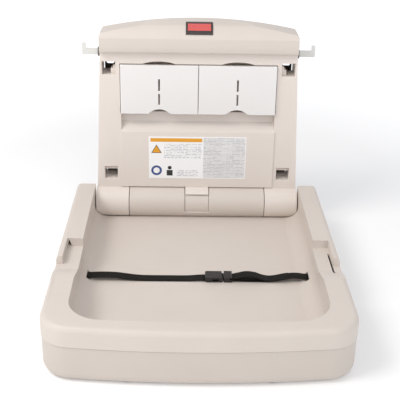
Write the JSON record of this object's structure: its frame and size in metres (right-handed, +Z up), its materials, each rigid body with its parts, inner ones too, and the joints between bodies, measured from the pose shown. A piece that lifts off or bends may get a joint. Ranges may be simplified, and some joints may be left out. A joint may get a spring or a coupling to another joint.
{
  "type": "changing table",
  "caption": "Wall-mounted changing table: a basin-shaped bed with a safety strap folds down from a panel with liner doors, bag hooks and an arched header.",
  "frame": {"origin": "on the wall, at the centre of the four mounting slots", "axes": "+X to the right of someone facing the table, +Y into the wall, +Z up; the bed reaches out along -Y"},
  "size_m": [0.57, 0.6979, 0.501],
  "materials": {
    "shell_plastic": "fine moulded texture, warm off-white",
    "door_plastic": "smooth white",
    "hook_metal": "satin light grey powder coat",
    "collar_plastic": "dark grey, moulded",
    "plate_steel": "black oxide sheet",
    "rod_steel": "ground bar",
    "screw_steel": "zinc plated",
    "label_paper": "laminated print",
    "badge_plastic": "charcoal with a plain red inset",
    "bush_plastic": "natural nylon",
    "damper_plastic": "black, moulded",
    "strap_webbing": "woven black polypropylene webbing",
    "buckle_plastic": "dark acetal"
  },
  "bodies": {
    "wall_frame": {"wall_panel": "shell_plastic", "header_cover": "shell_plastic", "back_plate": "plate_steel", "back_plate_screws": "screw_steel", "header_screws": "screw_steel", "badge_plate": "badge_plastic", "instruction_label": "label_paper", "bag_hook_right": "hook_metal", "bag_hook_left": "hook_metal", "hook_collar_right": "collar_plastic", "hook_collar_left": "collar_plastic", "door_pins": "rod_steel", "hinge_rod": "rod_steel", "rod_end_caps": "shell_plastic", "damper_core_right": "damper_plastic", "damper_core_left": "damper_plastic"},
    "door_left": {"liner_door_left": "door_plastic"},
    "door_right": {"liner_door_right": "door_plastic"},
    "bed": {"bed_shell": "shell_plastic", "base_shell": "shell_plastic", "hinge_centre_cover": "shell_plastic", "hinge_bush_right": "bush_plastic", "hinge_bush_left": "bush_plastic", "damper_housing_right": "damper_plastic", "damper_housing_left": "damper_plastic", "stiffening_plate": "plate_steel", "stiffening_plate_screws": "screw_steel", "shell_screws": "screw_steel", "strap_anchor_right": "plate_steel", "strap_anchor_left": "plate_steel", "strap_left": "strap_webbing", "strap_right": "strap_webbing", "buckle_socket": "buckle_plastic"},
    "plug": {"buckle_plug": "buckle_plastic", "strap_tail": "strap_webbing"},
    "prong_front": {"buckle_prong_front": "buckle_plastic"},
    "prong_rear": {"buckle_prong_rear": "buckle_plastic"}
  },
  "joints": [
    {"name": "bed_fold", "type": "hinge", "parent": "wall_frame", "child": "bed", "pos_m": [0, -0.058, -0.2], "axis": [-1, 0, 0], "range_deg": [0, 90]},
    {"name": "door_left_tilt", "type": "hinge", "parent": "wall_frame", "child": "door_left", "pos_m": [-0.09, -0.055, 0.028], "axis": [-1, 0, 0], "range_deg": [-40, 0]},
    {"name": "door_right_tilt", "type": "hinge", "parent": "wall_frame", "child": "door_right", "pos_m": [0.09, -0.055, 0.028], "axis": [-1, 0, 0], "range_deg": [-40, 0]},
    {"name": "buckle_release", "type": "slide", "parent": "bed", "child": "plug", "axis": [1, 0, 0], "range_m": [0, 0.025], "deforming": ["strap_right"]},
    {"name": "prong_front_squeeze", "type": "hinge", "parent": "plug", "child": "prong_front", "pos_m": [0.052, -0.38925, -0.2251], "axis": [0, 0, -1], "range_deg": [0, 5], "stiffness_Nm_per_rad": 0.004},
    {"name": "prong_rear_squeeze", "type": "hinge", "parent": "plug", "child": "prong_rear", "pos_m": [0.052, -0.37075, -0.2251], "axis": [0, 0, 1], "range_deg": [0, 5], "stiffness_Nm_per_rad": 0.004}
  ]
}
